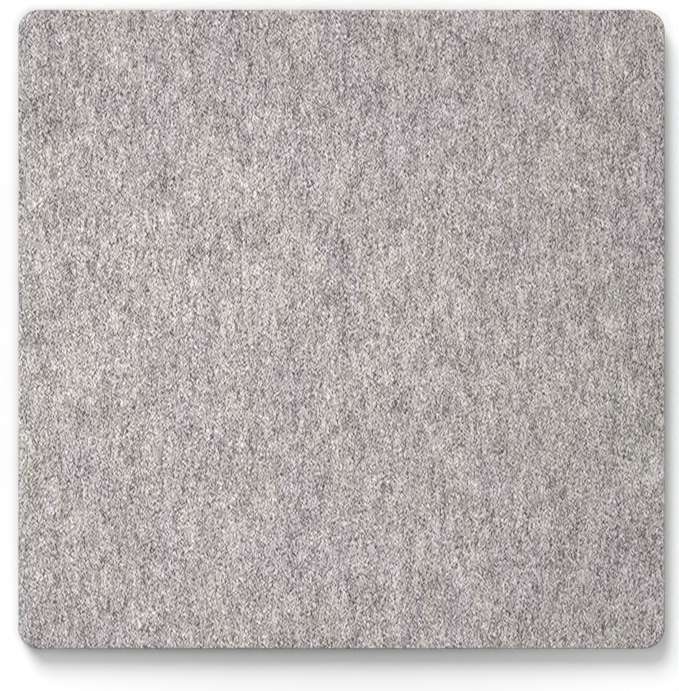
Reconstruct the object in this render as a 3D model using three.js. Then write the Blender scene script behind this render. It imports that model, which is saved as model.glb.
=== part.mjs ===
// Wool pressing mat: a square slab of felt with rounded corners, laid on a table as a pad under the iron.
// It is built as such felt is made, from plies of wool needled together into one thick slab and cut to shape.
//
// Millimetres, +Z up. The mat lies on its back at z = 0 with the pressing face upward, centred on the Z axis.
// +X is to the right and +Y is away from whoever stands at the front edge.

import * as THREE from 'three';

// Driving dimensions of the mat
const MAT_WIDTH = 431.8;
const MAT_DEPTH = 426.9;
const MAT_THICKNESS = 12.7;
const CORNER_RADIUS = 13.9;

// The plies, and the sliver of clearance where two needled faces meet
const PLY_COUNT = 4;
const PLY_CLEARANCE = 0.05;

// Quarter rounds along the cut edge: pressed over at the face, softer at the back, small where plies meet
const FACE_EASE = 1.4;
const BACK_EASE = 0.9;
const SEAM_EASE = 0.45;

// No quarter round takes up more than this share of its ply's thickness
const MOST_EASE_SHARE = 0.48;

// Facets in each corner of the outline, and in each quarter round
const CORNER_STEPS = 10;
const EASE_STEPS = 4;

const QUARTER_TURN = Math.PI / 2;
const PLY_THICKNESS = (MAT_THICKNESS - (PLY_COUNT - 1) * PLY_CLEARANCE) / PLY_COUNT;

const wool = new THREE.MeshStandardMaterial({
  name: 'grey_wool_felt',
  color: 0xb5b0ae,
  roughness: 1,
  metalness: 0,
});

// The mat's outline at one height, drawn in by an inset, anticlockwise as seen from above.
// The corner arcs keep their centres, so every ring runs parallel to the cut edge.
function outlineRing({ height, inset }) {
  const radius = CORNER_RADIUS - inset;
  const centreX = MAT_WIDTH / 2 - CORNER_RADIUS;
  const centreY = MAT_DEPTH / 2 - CORNER_RADIUS;
  const corners = [[1, 1], [-1, 1], [-1, -1], [1, -1]];
  return corners.flatMap(([sideX, sideY], corner) => {
    const arc = [];
    for (let step = 0; step <= CORNER_STEPS; step += 1) {
      const angle = (corner + step / CORNER_STEPS) * QUARTER_TURN;
      const x = sideX * centreX + radius * Math.cos(angle);
      const y = sideY * centreY + radius * Math.sin(angle);
      arc.push(new THREE.Vector3(x, y, height));
    }
    return arc;
  });
}

// The cut edge of one ply from its lower face to its upper face: a quarter round, a straight wall and
// another quarter round, as the inset at each height.
function edgeProfile(lowerEase, upperEase) {
  const lower = [];
  const upper = [];
  for (let step = 0; step <= EASE_STEPS; step += 1) {
    const angle = (step / EASE_STEPS) * QUARTER_TURN;
    const rise = 1 - Math.cos(angle);
    const drawnIn = 1 - Math.sin(angle);
    lower.push({ height: lowerEase * rise, inset: lowerEase * drawnIn });
    upper.unshift({ height: PLY_THICKNESS - upperEase * rise, inset: upperEase * drawnIn });
  }
  return [...lower, ...upper];
}

// A closed body lofted through rings of equally many points, with a flat cap on the first and the last ring.
function loft(rings) {
  const count = rings[0].length;
  const positions = rings.flat().flatMap((point) => point.toArray());
  const triangles = [];
  for (let ring = 0; ring < rings.length - 1; ring += 1) {
    for (let point = 0; point < count; point += 1) {
      const next = (point + 1) % count;
      const [a, b] = [ring * count + point, ring * count + next];
      const [c, d] = [a + count, b + count];
      triangles.push(a, b, d, a, d, c);
    }
  }
  const lastRing = (rings.length - 1) * count;
  for (const [a, b, c] of THREE.ShapeUtils.triangulateShape(rings[0], [])) {
    triangles.push(c, b, a);
    triangles.push(lastRing + a, lastRing + b, lastRing + c);
  }
  const geometry = new THREE.BufferGeometry();
  geometry.setAttribute('position', new THREE.Float32BufferAttribute(positions, 3));
  geometry.setIndex(triangles);
  geometry.computeVertexNormals();
  return geometry;
}

function plyName(index) {
  if (index === 0) {
    return 'back_ply';
  }
  return index === PLY_COUNT - 1 ? 'face_ply' : `core_ply_${index}`;
}

// One ply of the stack, counted from the table up. Only the outermost plies carry the mat's own edges.
function makePly(index) {
  const mostEase = MOST_EASE_SHARE * PLY_THICKNESS;
  const lowerEase = Math.min(index === 0 ? BACK_EASE : SEAM_EASE, mostEase);
  const upperEase = Math.min(index === PLY_COUNT - 1 ? FACE_EASE : SEAM_EASE, mostEase);
  const rings = edgeProfile(lowerEase, upperEase).map(outlineRing);
  const ply = new THREE.Mesh(loft(rings), wool);
  ply.name = plyName(index);
  ply.position.z = index * (PLY_THICKNESS + PLY_CLEARANCE);
  return ply;
}

const mat = new THREE.Group();
mat.name = 'wool_pressing_mat';
for (let index = 0; index < PLY_COUNT; index += 1) {
  mat.add(makePly(index));
}

export default mat;
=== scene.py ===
"""Wool pressing mat: a square felt slab of four needled plies, seen from straight above on a white floor.

Each ply of the frame is replaced by a dense felt mesh with a lumpy surface and a soft, uneven cut edge.
Tufts and loose fibres lie on the face and short ones stand out of the cut edge, all as thin closed tubes.
Lengths are in metres.
"""

import itertools
import math

import bpy
import numpy as np
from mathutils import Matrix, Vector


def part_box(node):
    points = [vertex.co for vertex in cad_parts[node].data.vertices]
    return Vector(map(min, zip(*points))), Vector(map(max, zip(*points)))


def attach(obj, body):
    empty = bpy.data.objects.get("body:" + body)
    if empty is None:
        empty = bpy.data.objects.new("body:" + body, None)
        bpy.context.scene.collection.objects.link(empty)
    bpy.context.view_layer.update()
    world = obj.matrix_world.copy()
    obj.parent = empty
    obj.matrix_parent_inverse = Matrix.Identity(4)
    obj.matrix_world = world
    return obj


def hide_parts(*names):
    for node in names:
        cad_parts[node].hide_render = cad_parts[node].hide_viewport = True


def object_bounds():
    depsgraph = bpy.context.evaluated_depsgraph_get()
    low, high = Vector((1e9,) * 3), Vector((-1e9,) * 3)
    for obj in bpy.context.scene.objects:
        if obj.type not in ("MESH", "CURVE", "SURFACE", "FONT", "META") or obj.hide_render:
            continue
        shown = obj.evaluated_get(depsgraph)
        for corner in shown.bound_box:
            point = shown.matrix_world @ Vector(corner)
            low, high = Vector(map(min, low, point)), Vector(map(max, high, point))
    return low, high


MM = 0.001
FULL_TURN = 2 * math.pi
QUARTER_TURN = math.pi / 2
BODY = "root"
BAKE_MAP = "OFBake"

# The mat's form: outline, back and seams as in the frame, and a crisper rim round the face
CORNER_RADIUS = 13.9 * MM
FACE_EASE = 0.7 * MM
BACK_EASE = 0.9 * MM
SEAM_EASE = 0.45 * MM

# The plies from the table up: piece, node, shown side, ease of the shown edge, place on the web and seed
FACE_SEED = 11
PLIES = (
    ("back_felt", "back_ply", -1, BACK_EASE, (9.0, 0.0), 41),
    ("lower_core_felt", "core_ply_1", 0, SEAM_EASE, (6.0, 0.0), 31),
    ("upper_core_felt", "core_ply_2", 0, SEAM_EASE, (3.0, 0.0), 21),
    ("face_felt", "face_ply", 1, FACE_EASE, (2.95, 7.92), FACE_SEED),
)

# Mesh spacing on the two shown faces and round the core plies, and rows down each ply's cut edge
FACE_SPACING = 1.5 * MM
CORE_SPACING = 0.8 * MM
EASE_ROWS = 4
WALL_ROWS = 5

# The felt's relief: the size of a lump, and how far it stands out on a face and on the cut edge
RELIEF = (
    (26.0 * MM, 0.14 * MM, 0.06 * MM),
    (9.0 * MM, 0.09 * MM, 0.07 * MM),
    (3.4 * MM, 0.10 * MM, 0.08 * MM),
    (2.4 * MM, 0.07 * MM, 0.06 * MM),
)
FACE_REACH = sum(on_face for _, on_face, _ in RELIEF)

# How far the seams between plies wander up and down along the cut edge, and over what length
SEAM_WANDER = 0.35 * MM
SEAM_CELL = 17.0 * MM
SEAM_SEED = 5

# Smooth noise is read from a table of random numbers, by a hash of each cell's corners
TABLE_SIZE = 4096
HASH_FACTORS = np.array([73856093, 19349663, 83492791])

# UV maps of the plies, with areas as left, bottom, width and height: the area of a shown face, then for a
# ply with a shown face and for a core ply the strips of the cut edge, their area and the area of the caps
FACE_AREA = (0.0, 0.12, 1.0, 0.88)
SHOWN_LAYOUT = (6, (0.0, 0.0, 0.85, 0.11), (0.88, 0.0, 0.1, 0.1))
CORE_LAYOUT = (16, (0.0, 0.0, 1.0, 0.94), (0.0, 0.95, 0.05, 0.05))
STRIP_FILL = 0.9

# Sides of a tuft's and of a fibre's tube, and the width of every strand on the UV map
TUFT_SIDES = 4
FIBRE_SIDES = 3
STRAND_WIDTH = 0.004

# The clouds in which pale and dark tufts gather, drawn out along the mat's length
GATHER_CELL = 11.0 * MM
GATHER_STRETCH = np.array([1.0, 1.7])
GATHER_SEED = 7

# Waves in a tuft's or a fibre's crimp from end to end
CRIMP_WAVES = (0.5, 1.3)

# Tufts on the face: name, count, range of shades, pull to pale clouds or, below 0, dark ones, and seed
TUFTS = (
    ("pale_tufts", 2600, (0.74, 0.99), 0.8, 51),
    ("grey_tufts", 1600, (0.36, 0.66), 0.0, 52),
    ("dark_tufts", 2000, (0.02, 0.30), -0.8, 53),
)
TUFT_LENGTH = (3.5 * MM, 9.0 * MM)
TUFT_HALF_WIDTH = (0.20 * MM, 0.40 * MM)
TUFT_FLATNESS = 0.35
TUFT_STEPS = 7
TUFT_TURN = math.radians(24)
TUFT_CRIMP = 0.03

# The rise of a tuft's middle over the face and the drop from there to its tips, in half thicknesses
TUFT_CROWN = 0.6
TUFT_DROP = 1.4

# Single fibres on the face: most are arched over it, and the others have one end free. The seat is how
# high a fibre lies over the felt, in half widths
FIBRE_COUNT = 5200
FIBRE_LENGTH = (5.0 * MM, 15.0 * MM)
FIBRE_HALF_WIDTH = (0.04 * MM, 0.075 * MM)
FIBRE_SHADES = (0.05, 0.99)
FIBRE_STEPS = 8
FIBRE_TURN = math.radians(40)
FIBRE_CRIMP = 0.07
FIBRE_LIFT = (0.0, 0.35 * MM)
FIBRE_SEAT = 0.5
ARCHED_SHARE = 0.7
FIBRE_SEED = 61

# Fibre ends that are rooted in the cut edge and stand out of it. The floor is how far they stay over the
# table, and the ceiling how far they may rise past the face
FUZZ_COUNT = 7000
FUZZ_HALF_WIDTH = (0.022 * MM, 0.04 * MM)
FUZZ_SHADES = (0.1, 0.99)
FUZZ_REACH = (0.15 * MM, 0.85 * MM)
FUZZ_SWAY = 1.1 * MM
FUZZ_RISE = 0.45 * MM
FUZZ_ROOT = 0.25 * MM
FUZZ_STEPS = 6
FUZZ_FLOOR = 0.06 * MM
FUZZ_CEILING = 0.25 * MM
FUZZ_SEED = 71

# Flecks of fibre: their turn in degrees, their size across, along and through the felt, and their weight
FLECKS = (
    (-36.0, (0.95 * MM, 3.3 * MM, 0.9 * MM), 0.8),
    (2.0, (0.90 * MM, 1.9 * MM, 0.9 * MM), 0.85),
    (37.0, (0.95 * MM, 3.3 * MM, 0.9 * MM), 0.8),
)
FLECK_CONTRAST = 0.98
FLECK_BUMP = 0.45 * MM
FLECK_BUMP_STRENGTH = 0.5

# The painted shadow on one side of each fleck: how far aside it lies, and how dark it is against the
# fleck
SHADOW_ASIDE = 1.1 * MM
SHADOW_SHARE = 0.35

# Slower noises of the web: turn in degrees, size of a cell across, along and through the felt and, where
# there are finer layers, their number and the strength of each against the one before it
CALM_AREAS = (0.0, (4.0 * MM, 9.0 * MM, 4.0 * MM), 2.0, 0.6)
STREAKS = (2.0, (2.8 * MM, 8.5 * MM, 2.8 * MM), 1.0, 0.6)
CLOUDS = (0.0, (11.0 * MM, 40.0 * MM, 11.0 * MM), 3.0, 0.7)
PATCHES = (6.0, (32.0 * MM, 80.0 * MM, 32.0 * MM), 4.0, 0.8)
DRIFT = (2.0, (1200.0 * MM, 270.0 * MM, 270.0 * MM))
EDGE_LAYERS = (0.0, (10.0 * MM, 10.0 * MM, 1.2 * MM), 2.0, 0.6)

# What they change: the flecks' contrast by calm areas, the shade by streaks, clouds and patches, the tint
# from lilac to cream by patches and, slowly, by the drift, and the shade of the cut edge by its layers
AREA_CONTRAST = 1.4
STREAK_WEIGHT = 0.56
CLOUD_WEIGHT = 0.47
PATCH_WEIGHT = 0.16
DRIFT_WEIGHT = 0.12
LAYER_WEIGHT = 0.6

# The share of cut edge in the look, by how far up the surface faces, reaching partway onto the face's
# rolled rim.
# The cut edge shows fibre ends, so its flecks are calmer and it is darker. The darkening is partly those
# fibre ends and partly painted shade, which also gives the rim a dark outline where it turns away from
# the light
EDGE_STOPS = (
    (0.45, (1.0, 1.0, 1.0)),
    (0.9, (0.55, 0.55, 0.55)),
    (1.0, (0.0, 0.0, 0.0)),
)
EDGE_FIBRE_ENDS_AND_PAINTED_SHADE = 0.11
EDGE_CALM = 0.6

# Colours of the felt by shade, its tints from lilac to cream, and colours of the single fibres by shade
MIDDLE_SHADE = 0.498
WOOL_STOPS = (
    (0.0, (0.059, 0.051, 0.048)),
    (0.28, (0.249, 0.226, 0.220)),
    (0.5, (0.475, 0.439, 0.430)),
    (0.72, (0.710, 0.662, 0.651)),
    (1.0, (0.997, 0.948, 0.933)),
)
TINT_STOPS = (
    (0.387, (0.957, 0.944, 1.0)),
    (0.627, (0.945, 0.958, 0.902)),
)
FIBRE_STOPS = (
    (0.0, (0.067, 0.059, 0.056)),
    (0.35, (0.30, 0.277, 0.27)),
    (0.65, (0.58, 0.545, 0.533)),
    (1.0, (0.88, 0.83, 0.813)),
)
WOOL_ROUGHNESS = 0.95
WOOL_SPECULAR = 0.15
WOOL_SHEEN = 0.1
WOOL_SHEEN_ROUGHNESS = 0.6

# The photograph's frame in pixels, and the mat in it
FRAME_WIDTH = 679
FRAME_HEIGHT = 691
MAT_LEFT = 18.4
MAT_RIGHT = 664.6
MAT_TOP = 9.8
MAT_BOTTOM = 648.6

# The camera's lens and sensor in millimetres, and how far it sees in metres
CAMERA_LENS = 180.0
CAMERA_SENSOR = 36.0
CAMERA_REACH = 100.0

# The light on a white card that faces up: from all round, from the key, the fill and the near lamp
AMBIENT = 0.13
KEY_LEVEL = 0.53
FILL_LEVEL = 0.09
NEAR_LEVEL = 0.41

# The two far lamps' height over the floor, turn and spread in degrees
KEY_ANGLES = (36.0, 23.0, 31.0)
FILL_ANGLES = (62.0, -114.0, 28.0)

# The near lamp's place and size, and the radius of its pool of light on the floor
NEAR_PLACE = (-0.13, 0.0, 0.60)
NEAR_SIZE = 0.20
NEAR_POOL = 0.66

# Half the floor's width, and the share of light that it gives back
FLOOR_HALF = 40.0
FLOOR_ALBEDO = 0.885

# The floor's own glow, which keeps it white where the near lamp fades: its level far out, the place on
# the floor that it fades towards, and the distances from there at which it starts and is full
FAR_GLOW = 0.31
GLOW_CENTRE = (-0.05, 0.0, 0.0)
GLOW_START = 0.15
GLOW_END = 0.42

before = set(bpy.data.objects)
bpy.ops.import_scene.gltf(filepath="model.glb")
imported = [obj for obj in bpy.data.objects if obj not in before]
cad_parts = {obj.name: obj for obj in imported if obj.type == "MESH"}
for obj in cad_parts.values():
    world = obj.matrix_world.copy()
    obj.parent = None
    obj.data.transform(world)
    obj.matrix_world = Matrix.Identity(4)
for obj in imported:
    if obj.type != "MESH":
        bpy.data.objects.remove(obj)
cad_low, cad_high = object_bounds()

# Half the mat's size in the frame, the part of it short of the corner arcs, and the height of its face
HALF_SIZE = np.array([cad_high.x - cad_low.x, cad_high.y - cad_low.y]) / 2
INNER_HALF = HALF_SIZE - CORNER_RADIUS
TOP = cad_high.z


# Felt surface

def smooth_noise(points, cell, seed):
    """Values from -1 to 1 that change smoothly over about one cell."""
    table = np.random.default_rng(seed).uniform(-1, 1, TABLE_SIZE)
    scaled = points / cell
    corner = np.floor(scaled).astype(np.int64)
    part = scaled - corner
    part = part * part * (3 - 2 * part)
    total = np.zeros(len(points))
    for step in itertools.product((0, 1), repeat=3):
        key = np.bitwise_xor.reduce((corner + step) * HASH_FACTORS, axis=1) % TABLE_SIZE
        weight = np.where(step, part, 1 - part).prod(axis=1)
        total += weight * table[key]
    return total


def felt_relief(points, edge_share, seed):
    """How far the felt stands proud of its smooth form. edge_share is 1 on the cut edge, 0 on a face."""
    height = np.zeros(len(points))
    for number, (cell, on_face, on_edge) in enumerate(RELIEF):
        reach = on_face + (on_edge - on_face) * edge_share
        height += reach * smooth_noise(points, cell, seed + number)
    return height


def at_height(places, height):
    """Flat places as points at one height."""
    return np.column_stack([places, np.full(len(places), height)])


# Plies

def rounded(points, inset):
    """A rectangle's points with each corner square drawn in to a quarter disc."""
    radius = CORNER_RADIUS - inset
    past = np.maximum(np.abs(points) - INNER_HALF, 0) / radius
    reach = np.hypot(past[:, 0], past[:, 1])
    draw = np.divide(past.max(axis=1), reach, out=np.ones(len(points)), where=reach > 0)
    return np.sign(points) * (np.minimum(np.abs(points), INNER_HALF) + radius * past * draw[:, None])


def ply_grid(inset, spacing):
    """The points of a face in rows, the numbers of its border points anticlockwise, and its quads."""
    line_x, line_y = (
        np.linspace(-half, half, round(2 * half / spacing) + 1)
        for half in HALF_SIZE - inset
    )
    points = np.stack(np.meshgrid(line_x, line_y), axis=-1).reshape(-1, 2)
    number = np.arange(len(points)).reshape(len(line_y), len(line_x))
    border = np.concatenate([number[0, :-1], number[:-1, -1], number[-1, :0:-1], number[:0:-1, 0]])
    quads = np.stack([number[:-1, :-1], number[:-1, 1:], number[1:, 1:], number[1:, :-1]], axis=-1)
    return rounded(points, inset), border, quads.reshape(-1, 4)


def edge_rows(thickness, shown_ease):
    """The rows of a ply's cut edge from its shown face down: height, inset and lean of the surface."""
    rows = []
    for lean in np.linspace(QUARTER_TURN, 0, EASE_ROWS + 1):
        height = thickness - shown_ease * (1 - math.sin(lean))
        rows.append((height, shown_ease * (1 - math.cos(lean)), lean))
    for height in np.linspace(thickness - shown_ease, SEAM_EASE, WALL_ROWS + 1)[1:-1]:
        rows.append((height, 0.0, 0.0))
    for lean in np.linspace(0, -QUARTER_TURN, EASE_ROWS + 1):
        height = SEAM_EASE * (1 + math.sin(lean))
        rows.append((height, SEAM_EASE * (1 - math.cos(lean)), lean))
    return rows


def ply_points(first, rim, thickness, shown_ease):
    """Points and outward directions of a ply: those of its shown face, then the rows of its cut edge."""
    centre = np.clip(rim, -INNER_HALF, INNER_HALF)
    outward = (rim - centre) / (CORNER_RADIUS - shown_ease)
    points = [at_height(first, thickness)]
    directions = [np.tile([0.0, 0.0, 1.0], (len(first), 1))]
    for height, inset, lean in edge_rows(thickness, shown_ease)[1:]:
        points.append(at_height(centre + (CORNER_RADIUS - inset) * outward, height))
        directions.append(at_height(outward * math.cos(lean), math.sin(lean)))
    return np.concatenate(points), np.concatenate(directions)


def strip_map(columns, row_count, strips, area):
    """UV corners for the side faces: the edge is cut into strips that lie over one another in area."""
    left, bottom, width, height = area
    per_strip = math.ceil(columns / strips)
    column = np.arange(columns)
    strip = column // per_strip
    start = (column % per_strip) / per_strip
    corners = []
    for row in range(row_count - 1):
        share = np.array([row + 1, row + 1, row, row]) / row_count
        along = start[:, None] + np.array([0, 1, 1, 0]) / per_strip
        across = (strip[:, None] + STRIP_FILL * share) / strips
        corners.append(np.stack([left + width * along, bottom + height * across], axis=-1))
    return np.concatenate(corners).reshape(-1, 2)


def flat_map(points, area):
    """UV places of points seen from above, fitted into area."""
    left, bottom, width, height = area
    share = points / (2 * HALF_SIZE) + 0.5
    return np.stack([left + width * share[:, 0], bottom + height * share[:, 1]], axis=-1)


def ply_shape(thickness, shown_ease, spacing, has_face):
    """A smooth ply with its shown face up: points, outward directions, faces and UV corners."""
    grid, border, quads = ply_grid(shown_ease, spacing)
    rim = grid[border]
    first = grid if has_face else rim
    points, directions = ply_points(first, rim, thickness, shown_ease)
    first_ring = border if has_face else np.arange(len(rim))
    rings = [first_ring, *np.arange(len(first), len(points)).reshape(-1, len(rim))]

    faces = []
    corners = []
    caps = [rings[-1][::-1]]
    if has_face:
        faces += quads.tolist()
        corners.append(flat_map(grid, FACE_AREA)[quads].reshape(-1, 2))
    else:
        caps.insert(0, first_ring)
    for upper, lower in itertools.pairwise(rings):
        faces += np.stack([lower, np.roll(lower, -1), np.roll(upper, -1), upper], axis=-1).tolist()
    strips, strip_area, cap_area = SHOWN_LAYOUT if has_face else CORE_LAYOUT
    corners.append(strip_map(len(rim), len(rings), strips, strip_area))
    for cap in caps:
        faces.append(cap.tolist())
        corners.append(flat_map(points[cap, :2], cap_area))
    return points, directions, faces, np.concatenate(corners)


def new_piece(name, points, faces, corners, material):
    """A smooth mesh object that rides on the mat, with its UV corners in the order of its faces."""
    mesh = bpy.data.meshes.new(name)
    mesh.from_pydata(points, [], faces)
    mesh.uv_layers.new(name=BAKE_MAP).data.foreach_set("uv", corners.reshape(-1))
    mesh.materials.append(material)
    mesh.polygons.foreach_set("use_smooth", np.ones(len(mesh.polygons), bool))
    mesh.update()
    piece = bpy.data.objects.new(name, mesh)
    bpy.context.scene.collection.objects.link(piece)
    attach(piece, BODY)
    return piece


def make_ply(name, node, shown_side, shown_ease, material, seed):
    """A felt ply in place of its node. shown_side is 1 for its upper face, -1 for its lower, or 0."""
    low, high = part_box(node)
    thickness = high.z - low.z
    spacing = FACE_SPACING if shown_side else CORE_SPACING
    points, outward, faces, corners = ply_shape(thickness, shown_ease, spacing, bool(shown_side))
    hidden = np.maximum(-outward[:, 2], 0) if shown_side else np.abs(outward[:, 2])
    if shown_side < 0:
        turn_over = np.array([1, -1, -1])
        points = points * turn_over + (0, 0, thickness)
        outward = outward * turn_over
    points[:, 2] += low.z

    # Faces inside the stack have no relief, and the lowest ply's lumps are drawn in, clear of the table
    proud = felt_relief(points, 1 - outward[:, 2] ** 2, seed)
    if shown_side < 0:
        proud -= FACE_REACH
    wander = smooth_noise(at_height(points[:, :2], 0.0), SEAM_CELL, SEAM_SEED)
    points += outward * (proud * (1 - hidden))[:, None]
    points[:, 2] += SEAM_WANDER * wander * np.sin(np.pi * np.clip(points[:, 2] / TOP, 0, 1))
    piece = new_piece(name, points, faces, corners, material)
    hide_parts(node)
    return piece


# Tufts and fibres

def tube_faces(rings, sides):
    """Triangles of a tube with pointed ends, and each corner's place round and along it from 0 to 1."""
    last_tip = rings * sides + 1
    triangles = []
    places = []
    for side in range(sides):
        follower = (side + 1) % sides
        triangles += [(0, 1 + side, 1 + follower)]
        places += [(0.5, 0.0), (0.0, 1.0), (1.0, 1.0)]
        for ring in range(rings - 1):
            near, near_next = (1 + ring * sides + number for number in (side, follower))
            far, far_next = near + sides, near_next + sides
            triangles += [(near, far, far_next), (near, far_next, near_next)]
            here, there = ring + 1, ring + 2
            places += [(0.0, here), (0.0, there), (1.0, there), (0.0, here), (1.0, there), (1.0, here)]
        final = 1 + (rings - 1) * sides
        triangles += [(final + follower, final + side, last_tip)]
        places += [(1.0, rings), (0.0, rings), (0.5, rings + 1)]
    return np.array(triangles), np.array(places) / (1, rings + 1)


def unit(vectors):
    """Vectors of length one."""
    return vectors / np.linalg.norm(vectors, axis=-1, keepdims=True)


def make_strands(name, paths, half_width, flatness, sides, shade, material):
    """One mesh of closed, tapering tubes along paths. shade is a tube's place on the fibres' colours."""
    count, steps = paths.shape[:2]
    tangent = unit(np.gradient(paths, axis=1))
    aside = unit(np.cross(tangent, (0.0, 0.0, 1.0)))
    upward = np.cross(aside, tangent)
    taper = np.sqrt(np.sin(np.pi * np.linspace(0, 1, steps)[1:-1]))
    reach = (half_width[:, None] * taper)[:, :, None, None]
    angle = FULL_TURN * (np.arange(sides) + 0.5) / sides
    sideways = aside[:, 1:-1, None] * np.cos(angle)[:, None]
    upright = upward[:, 1:-1, None] * (flatness * np.sin(angle))[:, None]
    rings = paths[:, 1:-1, None] + reach * (sideways + upright)
    points = np.concatenate([paths[:, :1], rings.reshape(count, -1, 3), paths[:, -1:]], axis=1)

    triangles, places = tube_faces(steps - 2, sides)
    faces = triangles + (np.arange(count) * points.shape[1])[:, None, None]
    corners = np.tile(places, (count, 1, 1))
    corners[..., 0] = shade[:, None] + STRAND_WIDTH * corners[..., 0]
    return new_piece(name, points.reshape(-1, 3), faces.reshape(-1, 3).tolist(), corners, material)


def scattered(random, count, gather):
    """About count places over the face, drawn to pale clouds if gather is over 0, dark if under."""
    places = random.uniform(-1, 1, (2 * count, 2)) * HALF_SIZE
    cloud = smooth_noise(at_height(places / GATHER_STRETCH, 0.0), GATHER_CELL, GATHER_SEED)
    return places[random.uniform(-1, 1, len(places)) < gather * cloud]


def lying_paths(random, places, lengths, turn_spread, crimp, steps):
    """Crimped paths along the face, mostly up and down it, without those that would cross its edge."""
    count = len(places)
    length = random.uniform(*lengths, (count, 1, 1))
    turn = random.normal(0.0, turn_spread, count)
    along = np.stack([np.sin(turn), np.cos(turn)], axis=-1)[:, None]
    aside = np.stack([np.cos(turn), -np.sin(turn)], axis=-1)[:, None]
    share = np.linspace(-0.5, 0.5, steps)[:, None]
    waves = random.uniform(*CRIMP_WAVES, (count, 1, 1))
    phase = random.uniform(0, FULL_TURN, (count, 1, 1))
    sway = crimp * length * np.sin(FULL_TURN * waves * share + phase)
    paths = places[:, None] + along * share * length + aside * sway
    past = np.maximum(np.abs(paths) - INNER_HALF, 0)
    inside = np.hypot(past[..., 0], past[..., 1]).max(axis=1) < CORNER_RADIUS - FACE_EASE
    return paths[inside]


def laid_on_face(paths, rise):
    """Flat paths laid on the face's relief, with a rise over it at each step."""
    points = at_height(paths.reshape(-1, 2), TOP)
    points[:, 2] += felt_relief(points, 0.0, FACE_SEED) + rise.reshape(-1)
    return points.reshape(*paths.shape[:2], 3)


def make_tufts(name, count, shades, gather, seed, material):
    """Flat slivers of wool half sunk in the face."""
    random = np.random.default_rng(seed)
    places = scattered(random, count, gather)
    paths = lying_paths(random, places, TUFT_LENGTH, TUFT_TURN, TUFT_CRIMP, TUFT_STEPS)
    half_width = random.uniform(*TUFT_HALF_WIDTH, len(paths))
    share = np.linspace(-1, 1, TUFT_STEPS)
    rise = TUFT_FLATNESS * half_width[:, None] * (TUFT_CROWN - TUFT_DROP * share ** 2)
    shade = random.uniform(*shades, len(paths))
    paths = laid_on_face(paths, rise)
    return make_strands(name, paths, half_width, TUFT_FLATNESS, TUFT_SIDES, shade, material)


def make_face_fibres(material):
    """Single long fibres on the face, arched over it or with one end free."""
    random = np.random.default_rng(FIBRE_SEED)
    places = scattered(random, FIBRE_COUNT, 0.0)
    paths = lying_paths(random, places, FIBRE_LENGTH, FIBRE_TURN, FIBRE_CRIMP, FIBRE_STEPS)
    count = len(paths)
    half_width = random.uniform(*FIBRE_HALF_WIDTH, count)
    share = np.linspace(0, 1, FIBRE_STEPS)
    arch = random.uniform(*FIBRE_LIFT, (count, 1)) * np.sin(np.pi * share)
    free_end = random.uniform(*FIBRE_LIFT, (count, 1)) * share ** 3
    arched = random.uniform(size=(count, 1)) < ARCHED_SHARE
    rise = half_width[:, None] * FIBRE_SEAT + np.where(arched, arch, free_end)
    shade = random.uniform(*FIBRE_SHADES, count)
    paths = laid_on_face(paths, rise)
    return make_strands("face_fibres", paths, half_width, 1.0, FIBRE_SIDES, shade, material)


def edge_inset(height):
    """How far the quarter rounds of face and back draw the cut edge in at each height."""
    over = np.maximum(height - (TOP - FACE_EASE), 0) / FACE_EASE
    under = np.maximum(BACK_EASE - height, 0) / BACK_EASE
    return FACE_EASE * (1 - np.sqrt(1 - over ** 2)) + BACK_EASE * (1 - np.sqrt(1 - under ** 2))


def make_edge_fuzz(material):
    """Short fibre ends that stand out of the cut edge all round."""
    random = np.random.default_rng(FUZZ_SEED)
    grid, border, _ = ply_grid(0.0, CORE_SPACING)
    rim = grid[random.choice(border, FUZZ_COUNT)]
    centre = np.clip(rim, -INNER_HALF, INNER_HALF)
    outward = (rim - centre) / CORNER_RADIUS
    along = np.stack([-outward[:, 1], outward[:, 0]], axis=-1)
    height = random.uniform(FUZZ_FLOOR, TOP, FUZZ_COUNT)
    start = centre + outward * (CORNER_RADIUS - edge_inset(height) - FUZZ_ROOT)[:, None]
    start += along * random.uniform(-0.5, 0.5, (FUZZ_COUNT, 1)) * CORE_SPACING
    share = np.linspace(0, 1, FUZZ_STEPS)[:, None]
    reach = (FUZZ_ROOT + random.uniform(*FUZZ_REACH, FUZZ_COUNT))[:, None, None]
    sway = random.normal(0.0, FUZZ_SWAY, (FUZZ_COUNT, 1, 1))
    rise = random.normal(0.0, FUZZ_RISE, (FUZZ_COUNT, 1))
    flat = start[:, None] + outward[:, None] * reach * share + along[:, None] * sway * share ** 2
    upright = np.clip(height[:, None] + rise * share[:, 0] ** 2, FUZZ_FLOOR, TOP + FUZZ_CEILING)
    paths = np.concatenate([flat, upright[..., None]], axis=-1)
    half_width = random.uniform(*FUZZ_HALF_WIDTH, FUZZ_COUNT)
    shade = random.uniform(*FUZZ_SHADES, FUZZ_COUNT)
    return make_strands("edge_fuzz", paths, half_width, 1.0, FIBRE_SIDES, shade, material)


# Materials

def connect(tree, value, socket):
    """Links a socket to another, or sets it to a plain value."""
    if isinstance(value, bpy.types.NodeSocket):
        tree.links.new(value, socket)
    else:
        socket.default_value = value


def add_node(tree, kind, settings=None, **inputs):
    """A shader node with its settings, and its inputs set or linked by name."""
    node = tree.nodes.new("ShaderNode" + kind)
    for name, value in (settings or {}).items():
        setattr(node, name, value)
    for name, value in inputs.items():
        connect(tree, value, node.inputs[name.replace("_", " ")])
    return node


def calculate(tree, kind, operation, *values):
    """The output of a Math or VectorMath node."""
    node = add_node(tree, kind, {"operation": operation})
    for value, socket in zip(values, node.inputs):
        connect(tree, value, socket)
    return node.outputs[0]


def weighted_sum(tree, rest, value, weight):
    """The rest plus a value times its weight."""
    return calculate(tree, "Math", "MULTIPLY_ADD", value, weight, rest)


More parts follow.
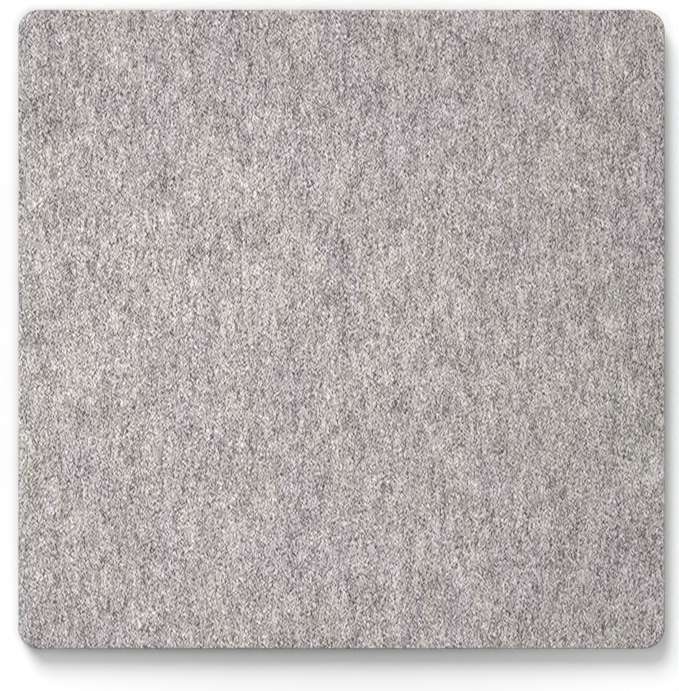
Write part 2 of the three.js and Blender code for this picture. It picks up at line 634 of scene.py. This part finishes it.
def ramp(tree, value, stops):
    """A colour ramp through (place, colour) stops."""
    node = add_node(tree, "ValToRGB", Fac=value)
    elements = node.color_ramp.elements
    while len(elements) < len(stops):
        elements.new(0.5)
    for element, (place, colour) in zip(elements, stops):
        element.position = place
        element.color = (*colour, 1.0)
    return node.outputs["Color"]


def cells(tree, place, turn, size, detail=0.0, roughness=0.0):
    """Noise over cells of the given size, turned about the upright axis, centred on zero."""
    mapping = add_node(tree, "Mapping", {"vector_type": "TEXTURE"}, Vector=place, Scale=size,
                       Rotation=(0.0, 0.0, math.radians(turn)))
    noise = add_node(tree, "TexNoise", Vector=mapping.outputs[0], Scale=1.0,
                     Detail=detail, Roughness=roughness)
    return calculate(tree, "Math", "SUBTRACT", noise.outputs["Fac"], 0.5)


def flecks(tree, place, turn, size):
    """Flecks of fibre that lie at one turn, each with a painted shadow on one side of it."""
    angle = math.radians(turn)
    aside = (SHADOW_ASIDE * math.cos(angle), SHADOW_ASIDE * math.sin(angle), 0.0)
    fleck = cells(tree, place, turn, size)
    # Painted shadow: a copy of the flecks one step aside, taken off them so that each fleck has a dark
    # flank
    painted_shadow = cells(tree, calculate(tree, "VectorMath", "SUBTRACT", place, aside), turn, size)
    return weighted_sum(tree, fleck, painted_shadow, -SHADOW_SHARE)


def cut_edge(tree):
    """The share of cut edge in the look, from 0 on the faces to 1 on the wall."""
    normal = add_node(tree, "NewGeometry").outputs["Normal"]
    upright = add_node(tree, "SeparateXYZ", Vector=normal).outputs["Z"]
    return ramp(tree, calculate(tree, "Math", "ABSOLUTE", upright), EDGE_STOPS)


def felt_shade(tree, place, grain, patch):
    """The felt's place on the wool's colours, from its flecks and the slower noises of the web."""
    edge = cut_edge(tree)
    contrast = weighted_sum(tree, FLECK_CONTRAST, cells(tree, place, *CALM_AREAS), AREA_CONTRAST)
    contrast = weighted_sum(tree, contrast, edge, -EDGE_CALM)
    layer = calculate(tree, "Math", "MULTIPLY", cells(tree, place, *EDGE_LAYERS), edge)
    # Painted shade: the cut edge and the face's rolled rim are made darker, partly for fibre ends and
    # partly as shade
    shade = weighted_sum(tree, MIDDLE_SHADE, edge, -EDGE_FIBRE_ENDS_AND_PAINTED_SHADE)
    shade = weighted_sum(tree, shade, grain, contrast)
    shade = weighted_sum(tree, shade, layer, LAYER_WEIGHT)
    shade = weighted_sum(tree, shade, cells(tree, place, *STREAKS), STREAK_WEIGHT)
    shade = weighted_sum(tree, shade, cells(tree, place, *CLOUDS), CLOUD_WEIGHT)
    return weighted_sum(tree, shade, patch, PATCH_WEIGHT)


def felt_tint(tree, place, patch):
    """The felt's tint from lilac to cream, by patches and a slow drift along the web."""
    blend = calculate(tree, "Math", "ADD", patch, 0.5)
    blend = weighted_sum(tree, blend, cells(tree, place, *DRIFT), DRIFT_WEIGHT)
    return ramp(tree, blend, TINT_STOPS)


def wool_shader(name):
    """A new material with the dull shine of wool, with its node tree and its shader."""
    material = bpy.data.materials.new(name)
    material.use_nodes = True
    shader = material.node_tree.nodes["Principled BSDF"]
    shader.inputs["Roughness"].default_value = WOOL_ROUGHNESS
    shader.inputs["Specular IOR Level"].default_value = WOOL_SPECULAR
    shader.inputs["Sheen Weight"].default_value = WOOL_SHEEN
    shader.inputs["Sheen Roughness"].default_value = WOOL_SHEEN_ROUGHNESS
    return material, material.node_tree, shader


def felt_material(name, web_place):
    """Heathered wool felt, cut from one large web at a place across and along it."""
    material, tree, shader = wool_shader(name)
    place = add_node(tree, "TexCoord").outputs["Object"]
    place = calculate(tree, "VectorMath", "ADD", place, (*web_place, 0.0))
    grain = 0.0
    for turn, size, weight in FLECKS:
        grain = weighted_sum(tree, grain, flecks(tree, place, turn, size), weight)
    patch = cells(tree, place, *PATCHES)
    wool = ramp(tree, felt_shade(tree, place, grain, patch), WOOL_STOPS)
    colour = calculate(tree, "VectorMath", "MULTIPLY", wool, felt_tint(tree, place, patch))
    bump = add_node(tree, "Bump", Strength=FLECK_BUMP_STRENGTH, Distance=FLECK_BUMP, Height=grain)
    connect(tree, colour, shader.inputs["Base Color"])
    connect(tree, bump.outputs[0], shader.inputs["Normal"])
    return material


def fibre_material():
    """Wool fibres from charcoal to cream, each shaded by its place on the UV map."""
    material, tree, shader = wool_shader("wool_fibre")
    place = add_node(tree, "UVMap", {"uv_map": BAKE_MAP}).outputs[0]
    across = add_node(tree, "SeparateXYZ", Vector=place).outputs["X"]
    connect(tree, ramp(tree, across, FIBRE_STOPS), shader.inputs["Base Color"])
    return material


# Camera, light and floor

def make_camera():
    """A camera straight above the mat, with the photograph's framing at the height of the face."""
    pixel = 2 * HALF_SIZE[0] / (MAT_RIGHT - MAT_LEFT)
    across = (FRAME_WIDTH - MAT_LEFT - MAT_RIGHT) / 2 * pixel
    along = (MAT_TOP + MAT_BOTTOM - FRAME_HEIGHT) / 2 * pixel
    distance = FRAME_HEIGHT * pixel * CAMERA_LENS / CAMERA_SENSOR
    data = bpy.data.cameras.new("camera")
    data.lens = CAMERA_LENS
    data.sensor_width = CAMERA_SENSOR
    data.clip_end = CAMERA_REACH
    camera = bpy.data.objects.new("camera", data)
    camera.location = (across, along, TOP + distance)
    bpy.context.scene.collection.objects.link(camera)
    bpy.context.scene.camera = camera


def add_lamp(name, kind, energy):
    """A lamp of one kind, as its object."""
    data = bpy.data.lights.new(name, kind)
    data.energy = energy
    lamp = bpy.data.objects.new(name, data)
    bpy.context.scene.collection.objects.link(lamp)
    return lamp


def add_sun(name, level, angles):
    """A broad lamp far away, which gives a level of light on a card that faces up."""
    elevation, azimuth, spread = (math.radians(angle) for angle in angles)
    sun = add_lamp(name, "SUN", level * math.pi / math.sin(elevation))
    sun.data.angle = spread
    sun.rotation_euler = (elevation - QUARTER_TURN, 0.0, azimuth)


def seen_rays(tree):
    """1 for rays from the camera, or by way of a shiny or clear surface, and 0 for other rays."""
    rays = add_node(tree, "LightPath").outputs
    seen = calculate(tree, "Math", "MAXIMUM", rays["Is Camera Ray"], rays["Is Glossy Ray"])
    return calculate(tree, "Math", "MAXIMUM", seen, rays["Is Transmission Ray"])


def make_lamps():
    """A key from the upper left, a faint fill from the right and a lamp over the left half."""
    add_sun("key", KEY_LEVEL, KEY_ANGLES)
    add_sun("fill", FILL_LEVEL, FILL_ANGLES)
    near = add_lamp("near", "SPOT", NEAR_LEVEL * (FULL_TURN * NEAR_PLACE[2]) ** 2)
    near.data.shadow_soft_size = NEAR_SIZE
    near.data.spot_size = 2 * math.atan(NEAR_POOL / NEAR_PLACE[2])
    near.data.spot_blend = 1.0
    near.location = NEAR_PLACE


def make_world():
    """A little light from all round, seen as white as the far floor."""
    world = bpy.data.worlds.new("white")
    world.use_nodes = True
    bpy.context.scene.world = world
    tree = world.node_tree
    background = tree.nodes["Background"]
    background.inputs["Color"].default_value = (1.0, 1.0, 1.0, 1.0)
    shown = FLOOR_ALBEDO * (AMBIENT + KEY_LEVEL + FILL_LEVEL) + FAR_GLOW
    strength = weighted_sum(tree, AMBIENT, seen_rays(tree), shown - AMBIENT)
    connect(tree, strength, background.inputs["Strength"])


def floor_material():
    """Plain white, with a glow that grows away from the mat, and which is seen but lights nothing."""
    material = bpy.data.materials.new("white_floor")
    material.use_nodes = True
    tree = material.node_tree
    tree.nodes.remove(tree.nodes["Principled BSDF"])
    diffuse = add_node(tree, "BsdfDiffuse", Color=(FLOOR_ALBEDO, FLOOR_ALBEDO, FLOOR_ALBEDO, 1.0))
    distance = add_node(tree, "VectorMath", {"operation": "DISTANCE"})
    connect(tree, add_node(tree, "TexCoord").outputs["Object"], distance.inputs[0])
    connect(tree, GLOW_CENTRE, distance.inputs[1])
    glow = add_node(tree, "MapRange", {"interpolation_type": "SMOOTHSTEP"},
                    Value=distance.outputs["Value"],
                    From_Min=GLOW_START, From_Max=GLOW_END, To_Max=FAR_GLOW)
    strength = calculate(tree, "Math", "MULTIPLY", seen_rays(tree), glow.outputs["Result"])
    emission = add_node(tree, "Emission", Strength=strength)
    both = add_node(tree, "AddShader")
    connect(tree, diffuse.outputs[0], both.inputs[0])
    connect(tree, emission.outputs[0], both.inputs[1])
    connect(tree, both.outputs[0], tree.nodes["Material Output"].inputs["Surface"])
    return material


def make_floor():
    """A plain white floor that takes the mat's shadow."""
    mesh = bpy.data.meshes.new("floor")
    sides = ((-1, -1), (1, -1), (1, 1), (-1, 1))
    corners = [(x * FLOOR_HALF, y * FLOOR_HALF, 0.0) for x, y in sides]
    mesh.from_pydata(corners, [], [(0, 1, 2, 3)])
    mesh.materials.append(floor_material())
    floor = bpy.data.objects.new("floor", mesh)
    bpy.context.scene.collection.objects.link(floor)


# The scene and the mat

bpy.context.scene.view_settings.view_transform = "Standard"
make_camera()
make_lamps()
make_world()
make_floor()
for name, node, shown_side, ease, web_place, seed in PLIES:
    make_ply(name, node, shown_side, ease, felt_material(name + "_wool", web_place), seed)
fibre_wool = fibre_material()
strands = [make_tufts(*kind, fibre_wool) for kind in TUFTS]
strands.append(make_face_fibres(fibre_wool))
strands.append(make_edge_fuzz(fibre_wool))
